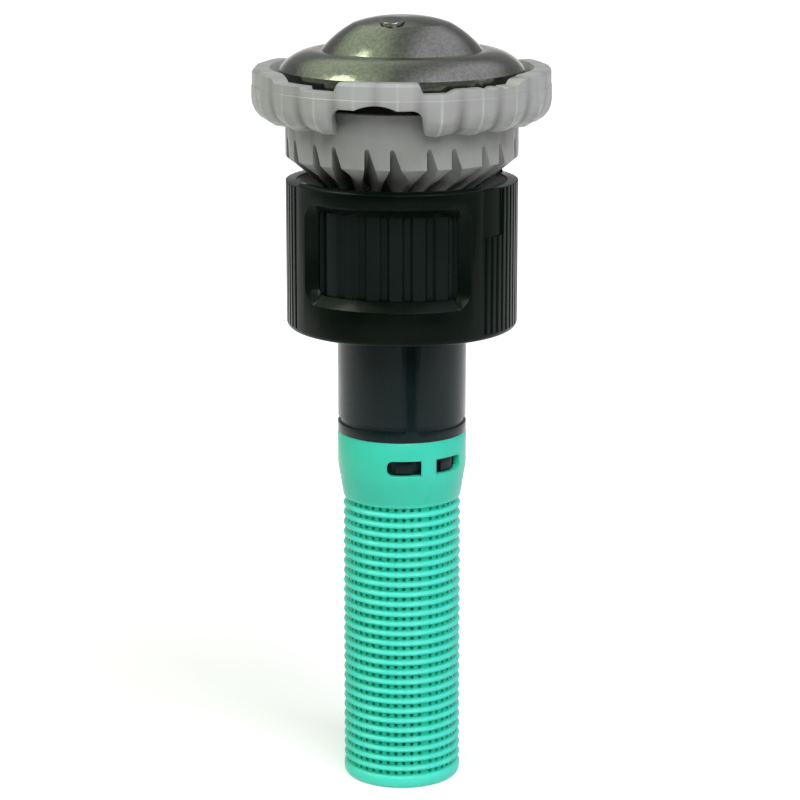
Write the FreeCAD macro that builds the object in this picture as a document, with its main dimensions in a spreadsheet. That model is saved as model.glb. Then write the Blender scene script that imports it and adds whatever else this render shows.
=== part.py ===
import FreeCAD, Part
import math
import os
import Sketcher
from types import SimpleNamespace

# Rotary nozzle for a pop up sprinkler.
# +Z is up, the origin is on the spin axis at the lower face of the nozzle housing,
# and the two setting windows face -Y and +Y.  All lengths are in millimetres.
# Heights named "..._bottom" or "..._top" are measured from the housing's lower face, and
# a "..._rise" or "..._drop" is measured up or down from the level that its comment names.

SIZES = [
    # Housing: the black outer shell with the two setting windows
    ("housing_radius", 11.43),
    ("housing_height", 15.0),
    ("housing_wall", 1.05),
    ("housing_edge", 0.6),
    ("rim_edge", 0.3),
    ("window_half_width", 6.8),
    ("window_bottom", 4.3),
    ("window_top", 12.4),
    ("window_corner", 0.6),
    ("window_bevel", 0.9),
    ("panel_half_angle", 52.3),
    ("rib_groove_pitch", 4.4),
    ("rib_groove_depth", 0.18),
    ("rib_groove_count", 17),
    ("rib_zone_drop", 0.4),
    ("pad_sweep", 17.0),
    ("pad_height", 4.9),
    ("pad_depth", 0.3),
    # Riser thread, 5/8-28 female, drawn at its minor diameter
    ("thread_radius", 7.45),
    ("thread_lead", 0.5),
    ("skirt_radius", 8.7),
    ("seat_height", 7.0),
    ("seat_thickness", 1.0),
    ("base_recess", 0.2),
    ("base_flange", 1.4),
    ("gasket_thickness", 0.8),
    ("gasket_land_radius", 6.7),
    ("gasket_relief", 0.5),
    ("seal_squeeze", 0.85),
    ("lower_seal_drop", 1.5),
    # Inlet tube
    ("tube_radius", 6.4),
    ("tube_bore", 5.4),
    ("tube_drop", 9.1),
    ("tube_flange_radius", 7.6),
    ("tube_flange", 1.0),
    ("groove_radius", 6.15),
    ("groove_height", 0.6),
    ("stop_ring_radius", 6.42),
    ("stop_ring_height", 0.95),
    ("tail_radius", 5.6),
    ("tail_bore", 4.8),
    ("tail_length", 5.0),
    ("valve_seat_radius", 3.0),
    ("valve_seat_bottom", 0.6),
    ("valve_seat_thickness", 1.2),
    ("snap_lug_height", 1.2),
    ("snap_lug_rise", 0.45),
    ("snap_lug_sweep", 16.0),
    ("key_nub_width", 1.2),
    ("key_nub_angle", 18.0),
    # Filter screen
    ("filter_band_radius", 6.44),
    ("filter_band_height", 3.5),
    ("filter_taper_height", 3.1),
    ("filter_radius", 5.91),
    ("filter_bore", 5.1),
    ("filter_floor", 1.0),
    ("filter_edge", 0.6),
    ("filter_groove_drop", 0.5),
    ("filter_pitch", 1.021),
    ("filter_groove_count", 28),
    ("filter_groove_width", 0.6),
    ("filter_groove_depth", 0.38),
    ("filter_tail", 1.6),
    ("slot_height", 1.55),
    ("slot_drop", 1.85),
    ("slot_centre_angle", 34.5),
    ("slot_half_sweep", 38.3),
    ("slot_post_sweep", 13.8),
    # Radius ring, turned through the windows
    ("ring_radius", 10.15),
    ("ring_bore", 9.1),
    ("ring_upper_bore", 9.4),
    ("ring_bottom", 1.9),
    ("ring_cover_gap", 0.3),
    ("ring_web", 0.7),
    ("upper_seal_space", 0.9),
    ("ring_hub_radius", 5.2),
    ("ring_hub_bore", 4.5),
    ("ring_hub_bottom", 4.6),
    ("ring_rib_count", 28),
    ("ring_groove_width", 1.1),
    ("ring_groove_depth", 0.3),
    # Throttle nut
    ("nut_height", 3.2),
    ("nut_body_radius", 3.0),
    ("nut_disc_radius", 3.8),
    ("nut_disc_height", 0.8),
    ("nut_bottom", 4.4),
    ("spline_count", 6),
    ("spline_radius", 4.75),
    ("spline_width", 0.9),
    ("spline_clearance", 0.12),
    # Flow hub, a spider under the nozzle cover
    ("hub_radius", 2.0),
    ("hub_bottom", 4.2),
    ("spider_height", 0.7),
    ("spider_ring_bore", 5.1),
    ("spider_ring_radius", 7.0),
    ("spider_arm_width", 0.8),
    # Nozzle cover: closes the housing and carries the arc seat and the dish
    ("cover_drop", 0.5),
    ("cover_rim", 1.3),
    ("cover_depth", 4.2),
    ("cover_step_radius", 8.9),
    ("cover_rim_taper", 0.35),
    ("dish_rim_radius", 10.1),
    ("dish_rim_drop", 0.2),
    ("dish_foot_radius", 5.4),
    ("dish_floor", 0.5),
    ("throat_bore", 5.0),
    ("lip_bore", 4.4),
    ("lip_floor", 0.4),
    ("lip_rise", 0.4),
    ("arc_pitch", 0.8),
    # Valve sleeve, which sets the arc
    ("sleeve_lift", 0.1),
    ("sleeve_clearance", 0.1),
    ("sleeve_neck_radius", 3.4),
    ("sleeve_spiral_rise", 0.16),
    ("clutch_tooth_count", 12),
    ("clutch_tooth_share", 0.42),
    ("clutch_tooth_height", 0.3),
    ("clutch_outer_radius", 3.3),
    # Shaft and what it carries
    ("shaft_radius", 1.2),
    ("shaft_bottom", 5.6),
    ("shaft_end", 0.9),
    ("shaft_collar_radius", 1.95),
    ("shaft_clearance", 0.06),
    ("thrust_washer", 0.4),
    ("press_travel", 0.5),
    ("shaft_nut_width", 4.2),
    ("shaft_nut_height", 1.2),
    ("spring_washer_radius", 2.7),
    ("spring_washer_height", 0.5),
    ("spring_wire", 0.42),
    ("spring_radius", 1.74),
    ("spring_turns", 6.5),
    ("clip_radius", 2.6),
    ("clip_height", 0.5),
    ("clip_groove_depth", 0.25),
    # Deflector.  Heights here and below are measured from the housing's upper face
    ("deflector_radius", 11.43),
    ("deflector_bore", 10.3),
    ("deflector_rise", 8.35),
    ("deflector_low_rise", 7.3),
    ("deflector_low_sweep", 64.0),
    ("deflector_edge_rise", 2.1),
    ("cone_foot_radius", 7.2),
    ("cone_foot_drop", 1.4),
    ("nose_drop", 1.6),
    ("nose_radius", 4.4),
    ("deflector_floor_rise", 4.2),
    ("well_radius", 5.2),
    ("well_floor_rise", 1.2),
    ("vane_pair_count", 12),
    ("vane_first_angle", -8.3),
    ("vane_near_gap", 12.4),
    ("vane_spiral_angle", 27.0),
    ("vane_start", 4.9),
    ("vane_tip_radius", 9.6),
    ("vane_tip_width", 0.22),
    ("slot_mouth_width", 1.1),
    ("slot_top_width", 0.5),
    ("slot_widest_top", 0.9),
    ("slot_outer_rise", 4.1),
    ("slot_inner_drop", 0.6),
    ("bushing_radius", 2.4),
    ("rotor_seal_radius", 4.8),
    ("rotor_seal_height", 1.2),
    ("retainer_height", 0.9),
    # Viscous brake
    ("brake_disk_radius", 9.2),
    ("brake_disk_height", 0.8),
    ("brake_ear_count", 6),
    ("brake_ear_width", 2.4),
    ("brake_bore", 1.9),
    ("brake_pad_radius", 7.6),
    ("brake_pad_height", 1.45),
    ("brake_gap", 0.1),
    ("friction_plate_height", 1.1),
    # Grip ring
    ("grip_radius", 14.73),
    ("grip_bottom_rise", 5.35),
    ("grip_low_rise", 9.6),
    ("grip_dip", 0.12),
    ("grip_step", 0.35),
    ("grip_lug", 1.05),
    ("grip_line_drop", 0.6),
    ("grip_line_depth", 0.07),
    ("grip_edge", 0.3),
    ("grip_lip_radius", 12.0),
    ("grip_lip_width", 0.2),
    ("grip_lip_height", 0.7),
    ("grip_inside_slope", 1.2),
    ("grip_curve_height", 2.5),
    ("grip_wall", 2.0),
    ("grip_flange_bore", 9.3),
    ("grip_flange", 1.0),
    ("grip_rim_bore", 12.25),
    ("grip_rib_count", 22),
    ("grip_flute_top", 0.12),
    ("grip_flute_foot", 0.6),
    ("grip_window_half_width", 4.3),
    ("grip_window_rise", 8.15),
    ("grip_window_corner", 0.9),
    ("grip_window_arch", 0.45),
    ("grip_window_arch_half", 2.0),
    # Cap
    ("cap_radius", 12.0),
    ("cap_sheet", 0.5),
    ("cap_rise", 15.6),
    ("cap_flat_radius", 0.8),
    ("cap_crown_radius", 4.73),
    ("cap_crown_drop", 0.69),
    ("cap_crown_bulge", 0.17),
    ("cap_neck_radius", 7.88),
    ("cap_neck_drop", 3.25),
    ("cap_side_bulge", 0.2),
    ("cap_shoulder_drop", 5.1),
    ("cap_shoulder_bulge", 0.6),
    ("cap_seal_height", 0.5),
    ("button_radius", 1.2),
    ("button_height", 0.22),
    ("button_edge", 0.15),
    ("button_centre", 3.5),
    ("button_angle", -5.0),
    # Running clearances
    ("slip", 0.05),
]

# How far a 45 degree point of a rounded corner lies from the corner's two sides, per radius
CORNER = 1 - math.sqrt(0.5)

# Upper edge of the grip ring: angle from -Y towards +X, and the level from there on.
# The back half repeats the front half after half a turn.
RIGHT_NOTCH = [
    (16.0, "lug"), (17.8, "low"), (28.4, "low"), (29.6, "dip"), (32.0, "step"), (43.0, "step"),
    (46.0, "dip"), (48.0, "step"), (50.5, "step"), (52.0, "dip"), (53.5, "step"), (59.0, "step"),
    (61.0, "shoulder"), (66.0, "brow"), (70.0, "lug"),
]
LEFT_NOTCH = [
    (-54.0, "lug"), (-51.0, "brow"), (-48.5, "shoulder"), (-47.0, "step"), (-31.2, "step"),
    (-30.9, "low"), (-16.6, "low"), (-14.5, "lug"),
]

doc = FreeCAD.newDocument("rotary_nozzle")
sheet = doc.addObject("Spreadsheet::Sheet", "Sizes")
for row, (name, value) in enumerate(SIZES, start=1):
    sheet.set(f"A{row}", name)
    sheet.set(f"B{row}", str(value))
    sheet.setAlias(f"B{row}", name)
doc.recompute()


class Size:
    """A number together with the spreadsheet expression that gives it."""

    def __init__(self, value, text):
        self.value = value
        self.text = text

    @staticmethod
    def of(other):
        if isinstance(other, Size):
            return other
        return Size(other, f"({other})")

    def __add__(self, other):
        other = Size.of(other)
        return Size(self.value + other.value, f"({self.text} + {other.text})")

    def __sub__(self, other):
        other = Size.of(other)
        return Size(self.value - other.value, f"({self.text} - {other.text})")

    def __mul__(self, other):
        other = Size.of(other)
        return Size(self.value * other.value, f"({self.text} * {other.text})")

    def __truediv__(self, other):
        other = Size.of(other)
        return Size(self.value / other.value, f"({self.text} / {other.text})")

    def __neg__(self):
        return Size(-self.value, f"(0 - {self.text})")


d = SimpleNamespace(**{
    name: Size(float(sheet.get(name)), f"Sizes.{name}") for name, _ in SIZES
})
ZERO = Size(0.0, "0")
nodes = {}

# Levels that move with the housing's height
upper = d.housing_height
d.cover_rim_top = upper - d.cover_drop
d.cover_rim_bottom = d.cover_rim_top - d.cover_rim
d.cover_bottom = upper - d.cover_depth
d.dish_rim_height = d.cover_rim_top - d.dish_rim_drop
d.dish_foot_height = d.cover_bottom + d.dish_floor
d.lip_bottom = d.cover_bottom + d.lip_floor
d.ring_top = d.cover_rim_bottom - d.ring_cover_gap
d.ring_web_top = d.cover_bottom - d.upper_seal_space
d.ring_web_bottom = d.ring_web_top - d.ring_web
d.nose_height = upper - d.nose_drop
d.cone_foot_height = upper - d.cone_foot_drop
d.well_floor = upper + d.well_floor_rise
d.deflector_floor = upper + d.deflector_floor_rise
d.deflector_edge_bottom = upper + d.deflector_edge_rise
d.deflector_low_top = upper + d.deflector_low_rise
d.deflector_top = upper + d.deflector_rise
d.grip_bottom = upper + d.grip_bottom_rise
d.grip_low_top = upper + d.grip_low_rise
d.grip_top = d.grip_low_top + d.grip_lug
d.grip_flange_top = d.deflector_top + d.grip_flange
d.cap_top = upper + d.cap_rise


def vector(x, y, z):
    return FreeCAD.Vector(x, y, z)


def origin_part(body, role):
    """A plane or an axis of the body's own origin."""
    return next(f for f in body.Origin.OriginFeatures if f.Role == role)


def bind(obj, prop, size):
    """Ties one property of an object to the sheet."""
    obj.setExpression(prop, Size.of(size).text)


def outline_sketch(body, name, outline, plane="XZ_Plane"):
    """A closed outline whose corners are tied to the sheet.

    Each corner is (across, up).  A corner with a third entry starts an arc
    that passes through that point on its way to the next corner.
    """
    sketch = body.newObject("Sketcher::SketchObject", name)
    sketch.AttachmentSupport = (origin_part(body, plane), [""])
    sketch.MapMode = "FlatFace"
    corners = [(Size.of(c[0]), Size.of(c[1])) for c in outline]
    count = len(corners)
    edges = []
    for i, corner in enumerate(outline):
        start = vector(corners[i][0].value, corners[i][1].value, 0)
        following = corners[(i + 1) % count]
        end = vector(following[0].value, following[1].value, 0)
        if len(corner) == 3:
            middle = vector(Size.of(corner[2][0]).value, Size.of(corner[2][1]).value, 0)
            edges.append(Part.Arc(start, middle, end))
        else:
            edges.append(Part.LineSegment(start, end))
    sketch.addGeometry(edges, False)

    first_end = []
    for i in range(count):
        start = vector(corners[i][0].value, corners[i][1].value, 0)
        at_start = sketch.getPoint(i, 1).distanceToPoint(start) < 1e-6
        first_end.append(1 if at_start else 2)
    constraints = []
    bindings = []

    def place(edge, end, size_x, size_y):
        for kind, size in (("DistanceX", size_x), ("DistanceY", size_y)):
            bindings.append((len(constraints), size))
            constraints.append(Sketcher.Constraint(kind, -1, 1, edge, end, size.value))

    for i in range(count):
        after = (i + 1) % count
        constraints.append(
            Sketcher.Constraint("Coincident", i, 3 - first_end[i], after, first_end[after])
        )
        place(i, first_end[i], *corners[i])
    for i, corner in enumerate(outline):
        if len(corner) == 3:
            through = (Size.of(corner[2][0]), Size.of(corner[2][1]))
            point = Part.Point(vector(through[0].value, through[1].value, 0))
            mark = sketch.addGeometry(point, True)
            place(mark, 1, *through)
            constraints.append(Sketcher.Constraint("PointOnObject", mark, 1, i))
    sketch.addConstraint(constraints)
    for index, size in bindings:
        sketch.setExpression(f"Constraints[{index}]", size.text)
    return sketch


def middle_of(start, end, bulge):
    """The middle of an arc that stands out and up from the straight between two points."""
    across = end[0] - start[0]
    down = start[1] - end[1]
    length = math.hypot(across.value, down.value)
    return (
        (start[0] + end[0]) / 2 + bulge * (down.value / length),
        (start[1] + end[1]) / 2 + bulge * (across.value / length),
    )


def turned(name, outline):
    """A body turned about the Z axis from an outline of (radius, height) corners."""
    body = doc.addObject("PartDesign::Body", name)
    sketch = outline_sketch(body, name + "_outline", outline)
    turning = body.newObject("PartDesign::Revolution", name + "_turning")
    turning.Profile = sketch
    turning.ReferenceAxis = (sketch, ["V_Axis"])
    turning.Angle = 360
    return body


def cut_through(body, name, outline, plane="XZ_Plane"):
    """A pocket that runs right through the body, both ways from the sketch."""
    sketch = outline_sketch(body, name + "_outline", outline, plane)
    pocket = body.newObject("PartDesign::Pocket", name)
    pocket.Profile = sketch
    pocket.SideType = "Symmetric"
    pocket.Type = "ThroughAll"
    return pocket


def repeat_round(body, feature, name, count):
    """Repeats a feature evenly round the Z axis."""
    pattern = body.newObject("PartDesign::PolarPattern", name)
    pattern.Originals = [feature]
    pattern.Axis = (origin_part(body, "Z_Axis"), [""])
    pattern.Angle = 360
    bind(pattern, "Occurrences", count)
    body.Tip = pattern
    return pattern


def cylinder(name, radius, bottom, height, start=0.0, sweep=None):
    """A cylinder, or a sector of one.  Angles run from -Y towards +X."""
    part = doc.addObject("Part::Cylinder", name)
    bind(part, "Radius", radius)
    bind(part, "Height", height)
    bind(part, "Placement.Base.z", bottom)
    if sweep is not None:
        bind(part, "Angle", sweep)
        part.Placement.Rotation = FreeCAD.Rotation(vector(0, 0, 1), 1)
        turn = f"mod({Size.of(start).text} + 270; 360) * 1deg"
        part.setExpression("Placement.Rotation.Angle", turn)
    return part


def cut(name, base, *tools):
    """Base with the tools taken out of it."""
    result = base
    for number, tool in enumerate(tools, start=1):
        step = doc.addObject("Part::Cut", name if number == len(tools) else f"{name}_step{number}")
        step.Base = result
        step.Tool = tool
        result = step
    return result


def fuse(name, *parts):
    result = doc.addObject("Part::MultiFuse", name)
    result.Shapes = list(parts)
    result.Refine = True
    return result


def ring_of(name, outer, inner, bottom, height, start=0.0, sweep=None):
    """A plain ring, or a sector of one."""
    solid = cylinder(name + "_outer", outer, bottom, height, start, sweep)
    hole = cylinder(name + "_inner", inner, bottom, height)
    return cut(name, solid, hole)


def crossbar(name, length, width, bottom, height, angle=0.0):
    """A bar centred on the Z axis."""
    bar = doc.addObject("Part::Box", name)
    bind(bar, "Length", length)
    bind(bar, "Width", width)
    bind(bar, "Height", height)
    turn = math.radians(angle)
    half_length = Size.of(length) / 2
    half_width = Size.of(width) / 2
    bar.Placement.Rotation = FreeCAD.Rotation(vector(0, 0, 1), angle)
    bind(bar, "Placement.Base.x", half_width * math.sin(turn) - half_length * math.cos(turn))
    bind(bar, "Placement.Base.y", -half_length * math.sin(turn) - half_width * math.cos(turn))
    bind(bar, "Placement.Base.z", bottom)
    return bar


def plain_shape(name, shape):
    """A shape made directly from the sheet's values."""
    part = doc.addObject("Part::Feature", name)
    part.Shape = shape
    part.Placement = FreeCAD.Placement()
    return part


def placed(shape, place, turn):
    """A copy turned and moved, with the change worked into its geometry."""
    return shape.transformed(FreeCAD.Placement(place, turn).toMatrix(), copy=True)


def about_z(shape, degrees, rise=0.0):
    return placed(shape, vector(0, 0, rise), FreeCAD.Rotation(vector(0, 0, 1), degrees))


def keep(node, part):
    """Names the finished sub-part after its node."""
    part.Label = node
    nodes[node] = part


# ---------------------------------------------------------------- base, fixed to the riser

def make_nozzle_base():
    """Threaded skirt with the riser seat, and the flange that closes the housing below."""
    skirt_top = d.seat_height + d.seat_thickness
    flange_radius = d.housing_radius - d.housing_wall - d.slip
    flange_top = d.base_recess + d.base_flange
    seal = lower_seal_place()
    keep("nozzle_base", turned("base", [
        (d.thread_radius + d.thread_lead, d.base_recess),
        (flange_radius, d.base_recess),
        (flange_radius, flange_top),
        (d.skirt_radius, flange_top),
        (d.skirt_radius, seal.height - seal.section),
        (seal.centre - seal.section, seal.height - seal.section),
        (seal.centre - seal.section, seal.height + seal.section),
        (d.skirt_radius, seal.height + seal.section),
        (d.skirt_radius, skirt_top),
        (d.gasket_land_radius + d.slip, skirt_top),
        (d.gasket_land_radius + d.slip, d.seat_height),
        (d.thread_radius, d.seat_height),
        (d.thread_radius, d.base_recess + d.thread_lead),
    ]))


def lower_seal_place():
    """The O-ring between the skirt and the radius ring."""
    section = (d.ring_bore - d.skirt_radius) * d.seal_squeeze
    centre = d.ring_bore - section - d.slip * 2
    height = d.seat_height - d.lower_seal_drop
    return SimpleNamespace(section=section, centre=centre, height=height)


def torus(name, centre, section, height):
    """An O-ring of the given centre radius and section radius."""
    ring = doc.addObject("Part::Torus", name)
    bind(ring, "Radius1", centre)
    bind(ring, "Radius2", section)
    bind(ring, "Placement.Base.z", height)
    return ring


def make_seals():
    lower = lower_seal_place()
    keep("lower_ring_seal", torus("lower_o_ring", lower.centre, lower.section, lower.height))
    section = (d.upper_seal_space - d.slip * 2) / 2
    upper_centre = (d.spider_ring_radius + d.cover_step_radius) / 2
    keep("upper_ring_seal", torus("upper_o_ring", upper_centre, section, d.cover_bottom - section))
    keep("riser_gasket", ring_of(
        "gasket", d.thread_radius - d.slip, d.gasket_land_radius + d.slip,
        d.seat_height - d.gasket_thickness, d.gasket_thickness,
    ))


def make_housing_shell():
    """Black shell: two smooth panels with a window each, and two ribbed zones between."""
    inside = d.housing_radius - d.housing_wall
    shell = turned("shell", [
        (inside, ZERO),
        (d.housing_radius - d.housing_edge, ZERO, (
            d.housing_radius - d.housing_edge * CORNER, d.housing_edge * CORNER)),
        (d.housing_radius, d.housing_edge),
        (d.housing_radius, d.housing_height - d.rim_edge),
        (d.housing_radius - d.rim_edge, d.housing_height),
        (inside + d.rim_edge, d.housing_height),
        (inside, d.housing_height - d.rim_edge),
    ])
    zone_sweep = Size(180.0, "180") - d.panel_half_angle * 2
    reach = d.housing_radius + d.housing_wall
    zone_rims = [
        cylinder(f"zone_rim_{side}", reach, d.housing_height - d.rib_zone_drop,
                 d.housing_wall, start, zone_sweep)
        for side, start in (("right", d.panel_half_angle), ("left", d.panel_half_angle + 180))
    ]
    pads = [
        ring_of(f"pad_{side}", reach, d.housing_radius - d.pad_depth,
                d.housing_height - d.pad_height, d.pad_height + d.housing_wall, start, d.pad_sweep)
        for side, start in (("right", d.panel_half_angle), ("left", d.panel_half_angle + 180))
    ]
    grooves = plain_shape("rib_grooves", rib_grooves())
    opening = window_opening()
    windows = [
        plain_shape("window_front", opening), plain_shape("window_back", about_z(opening, 180)),
    ]
    keep("housing_shell", cut("shell_cut", shell, *zone_rims, *pads, grooves, *windows))


def window_opening():
    """Cutter of a window whose outline grows by the bevel on its way out through the wall.

    It is ruled through upright sections that stand round the axis.  Lengths along the
    window are taken on the outer face, and depth is 0 at the inner face and 1 at the outer.
    """
    outer = d.housing_radius.value
    wall = d.housing_wall.value
    bevel = d.window_bevel.value
    inner_half = math.asin(d.window_half_width.value / (outer - wall)) * outer
    nearest, farthest = -0.25, 1.5

    def point(along, depth):
        """Radius, lower height and upper height of the cutter."""
        corner = d.window_corner.value + bevel * depth
        into_corner = min(max(along - (inner_half + bevel * depth - corner), 0), corner)
        lift = corner - math.sqrt(corner ** 2 - into_corner ** 2)
        return (
            outer - wall + wall * depth,
            d.window_bottom.value - bevel * depth + lift,
            d.window_top.value + bevel * depth - lift,
        )

    def section(along):
        near = point(abs(along), max(nearest, (abs(along) - inner_half) / bevel))
        far = point(abs(along), farthest)
        corners = [
            vector(0, -near[0], near[1]), vector(0, -far[0], far[1]),
            vector(0, -far[0], far[2]), vector(0, -near[0], near[2]),
        ]
        wire = Part.makePolygon(corners + corners[:1])
        return about_z(wire, math.degrees(along / outer))

    straight = inner_half + bevel * nearest - (d.window_corner.value + bevel * nearest)
    end = inner_half + bevel * (farthest - 0.1)
    half = [straight * k / 5 for k in range(1, 6)]
    half += [straight + (end - straight) * k / 9 for k in range(1, 10)]
    places = [-along for along in reversed(half)] + [0] + half
    return Part.makeLoft([section(along) for along in places], True, True)


def rib_grooves():
    """V grooves that leave the fine ribs on both sides of the housing."""
    radius = d.housing_radius.value
    depth = d.rib_groove_depth.value
    pitch = d.rib_groove_pitch.value
    half = math.radians(pitch / 4) * radius
    outside = radius + depth
    low = d.housing_edge.value
    wedge = Part.Face(Part.makePolygon([
        vector(radius - depth, 0, low),
        vector(outside, 2 * half, low),
        vector(outside, -2 * half, low),
        vector(radius - depth, 0, low),
    ])).extrude(vector(0, 0, d.housing_height.value))
    count = int(d.rib_groove_count.value)
    first = -pitch * (count - 1) / 2
    return Part.makeCompound([
        about_z(wedge, side + first + pitch * k) for side in (0, 180) for k in range(count)
    ])


def make_inlet_tube():
    """Tube that hangs in the riser: valve seat inside, stop ring and snap tail below."""
    flange_top = d.seat_height + d.seat_thickness + d.tube_flange
    flange_bottom = d.seat_height + d.seat_thickness
    ring_top = -d.tube_drop - d.groove_height
    ring_bottom = ring_top - d.stop_ring_height
    tail_end = ring_bottom - d.tail_length
    seat_top = d.valve_seat_bottom + d.valve_seat_thickness
    tube = turned("tube", [
        (d.tube_bore, seat_top),
        (d.tube_bore, flange_top),
        (d.tube_flange_radius, flange_top),
        (d.tube_flange_radius, flange_bottom),
        (d.gasket_land_radius, flange_bottom),
        (d.gasket_land_radius, d.seat_height - d.gasket_thickness),
        (d.groove_radius, d.seat_height - d.gasket_thickness),
        (d.groove_radius, d.seat_height - d.gasket_thickness - d.gasket_relief),
        (d.tube_radius, d.seat_height - d.gasket_thickness - d.gasket_relief),
        (d.tube_radius, -d.tube_drop),
        (d.groove_radius, -d.tube_drop),
        (d.groove_radius, ring_top),
        (d.stop_ring_radius, ring_top),
        (d.stop_ring_radius, ring_bottom),
        (d.tail_radius, ring_bottom),
        (d.tail_radius, tail_end),
        (d.tail_bore, tail_end),
        (d.tail_bore, ring_bottom),
        (d.tube_bore, ring_top),
        (d.tube_bore, d.valve_seat_bottom),
        (d.valve_seat_radius, d.valve_seat_bottom),
        (d.valve_seat_radius, seat_top),
    ])
    lug_bottom = ring_bottom - d.slot_drop - (d.slot_height + d.snap_lug_height) / 2
    lug_offset = d.slot_half_sweep / 2 + d.slot_post_sweep / 4
    lugs = []
    for half in (0, 180):
        for side in (-1, 1):
            middle = d.slot_centre_angle + lug_offset * side + half
            lugs.append(ring_of(
                f"snap_lug_{half}_{'left' if side < 0 else 'right'}",
                d.tail_radius + d.snap_lug_rise, d.tail_bore, lug_bottom, d.snap_lug_height,
                middle - d.snap_lug_sweep / 2, d.snap_lug_sweep,
            ))
    nub_sweep = d.key_nub_width / d.tube_radius * math.degrees(1)
    nub = ring_of(
        "key_nub", d.stop_ring_radius, d.tube_bore, ring_top, d.groove_height,
        d.key_nub_angle - nub_sweep / 2, nub_sweep,
    )
    keep("inlet_tube", fuse("tube_with_lugs", tube, *lugs, nub))


def make_filter_screen():
    """Filter cup: plain band with two split snap slots, then a stack of grooved ribs."""
    top = -d.tube_drop - d.groove_height - d.stop_ring_height
    band_bottom = top - d.filter_band_height
    taper_bottom = band_bottom - d.filter_taper_height
    first_groove = taper_bottom - d.filter_groove_drop
    last_groove = first_groove - d.filter_pitch * (d.filter_groove_count - 1)
    bottom = last_groove - d.filter_tail
    band_bore = d.tail_radius + d.slip
    screen = turned("screen", [
        (band_bore, top),
        (d.filter_band_radius, top),
        (d.filter_band_radius, band_bottom),
        (d.filter_radius, taper_bottom),
        (d.filter_radius, bottom + d.filter_edge),
        (d.filter_radius - d.filter_edge, bottom),
        (ZERO, bottom),
        (ZERO, bottom + d.filter_floor),
        (d.filter_bore, bottom + d.filter_floor),
        (d.filter_bore, taper_bottom),
        (band_bore, band_bottom - d.filter_taper_height / 2),
    ])
    outline = outline_sketch(screen, "groove_outline", [
        (d.filter_radius - d.filter_groove_depth, first_groove),
        (d.filter_radius + d.slip, first_groove - d.filter_groove_width / 2),
        (d.filter_radius + d.slip, first_groove + d.filter_groove_width / 2),
    ])
    groove = screen.newObject("PartDesign::Groove", "rib_groove")
    groove.Profile = outline
    groove.ReferenceAxis = (outline, ["V_Axis"])
    groove.Angle = 360
    stack = screen.newObject("PartDesign::LinearPattern", "rib_stack")
    stack.Originals = [groove]
    stack.Direction = (origin_part(screen, "Z_Axis"), [""])
    stack.Reversed = True
    bind(stack, "Length", d.filter_pitch * (d.filter_groove_count - 1))
    bind(stack, "Occurrences", d.filter_groove_count)
    screen.Tip = stack

    slot_bottom = top - d.slot_drop - d.slot_height
    half_window = d.slot_half_sweep - d.slot_post_sweep / 2
    slots = []
    for half in (0, 180):
        for side, start in (
            ("left", d.slot_centre_angle - d.slot_half_sweep),
            ("right", d.slot_centre_angle + d.slot_post_sweep / 2),
        ):
            slots.append(cylinder(
                f"slot_{half}_{side}", d.filter_band_radius * 2, slot_bottom, d.slot_height,
                start + half, half_window,
            ))
    keep("filter_screen", cut("screen_cut", screen, *slots))


# ---------------------------------------------------------------- radius setting

def make_radius_ring():
    """Ribbed ring turned through the windows; its splined hub turns the throttle nut."""
    ring = turned("ring", [
        (d.ring_bore, d.ring_bottom),
        (d.ring_radius, d.ring_bottom),
        (d.ring_radius, d.ring_top),
        (d.ring_upper_bore, d.ring_top),
        (d.ring_upper_bore, d.ring_web_top),
        (d.ring_hub_bore, d.ring_web_top),
        (d.ring_hub_bore, d.ring_hub_bottom),
        (d.ring_hub_radius, d.ring_hub_bottom),
        (d.ring_hub_radius, d.ring_web_bottom),
        (d.ring_bore, d.ring_web_bottom),
    ])
    floor = d.ring_radius - d.ring_groove_depth
    outside = d.ring_radius + d.ring_groove_depth
    half = d.ring_groove_width / 2
    rib_gap = cut_through(ring, "rib_gap", [
        (floor, -half / 2), (outside, -half * 1.5), (outside, half * 1.5), (floor, half / 2),
    ], "XY_Plane")
    repeat_round(ring, rib_gap, "rib_gaps", d.ring_rib_count)
    spline_half = d.spline_width / 2 + d.spline_clearance
    spline_floor = d.spline_radius + d.spline_clearance
    spline_gap = cut_through(ring, "spline_gap", [
        (d.ring_hub_bore / 2, -spline_half), (spline_floor, -spline_half),
        (spline_floor, spline_half), (d.ring_hub_bore / 2, spline_half),
    ], "XY_Plane")
    repeat_round(ring, spline_gap, "spline_gaps", d.spline_count)
    keep("radius_ring", ring)


def make_throttle_nut():
    """Nut on the flow hub's thread, with a valve disc below and splined wings."""
    top = d.nut_bottom + d.nut_height
    bore = d.hub_radius + d.spline_clearance
    disc_top = d.nut_bottom + d.nut_disc_height
    nut = turned("nut", [
        (bore, d.nut_bottom),
        (d.nut_body_radius, d.nut_bottom),
        (d.nut_disc_radius, d.nut_bottom + d.nut_disc_height / 2),
        (d.nut_disc_radius, disc_top),
        (d.nut_body_radius, disc_top),
        (d.nut_body_radius, top),
        (bore, top),
    ])
    sketch = outline_sketch(nut, "wing_outline", [
        (d.nut_body_radius - d.spline_width / 2, disc_top),
        (d.spline_radius, disc_top),
        (d.spline_radius, top),
        (d.nut_body_radius - d.spline_width / 2, top),
    ])
    wing = nut.newObject("PartDesign::Pad", "wing")
    wing.Profile = sketch
    wing.SideType = "Symmetric"
    bind(wing, "Length", d.spline_width)
    repeat_round(nut, wing, "wings", d.spline_count)
    keep("throttle_nut", nut)


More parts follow.
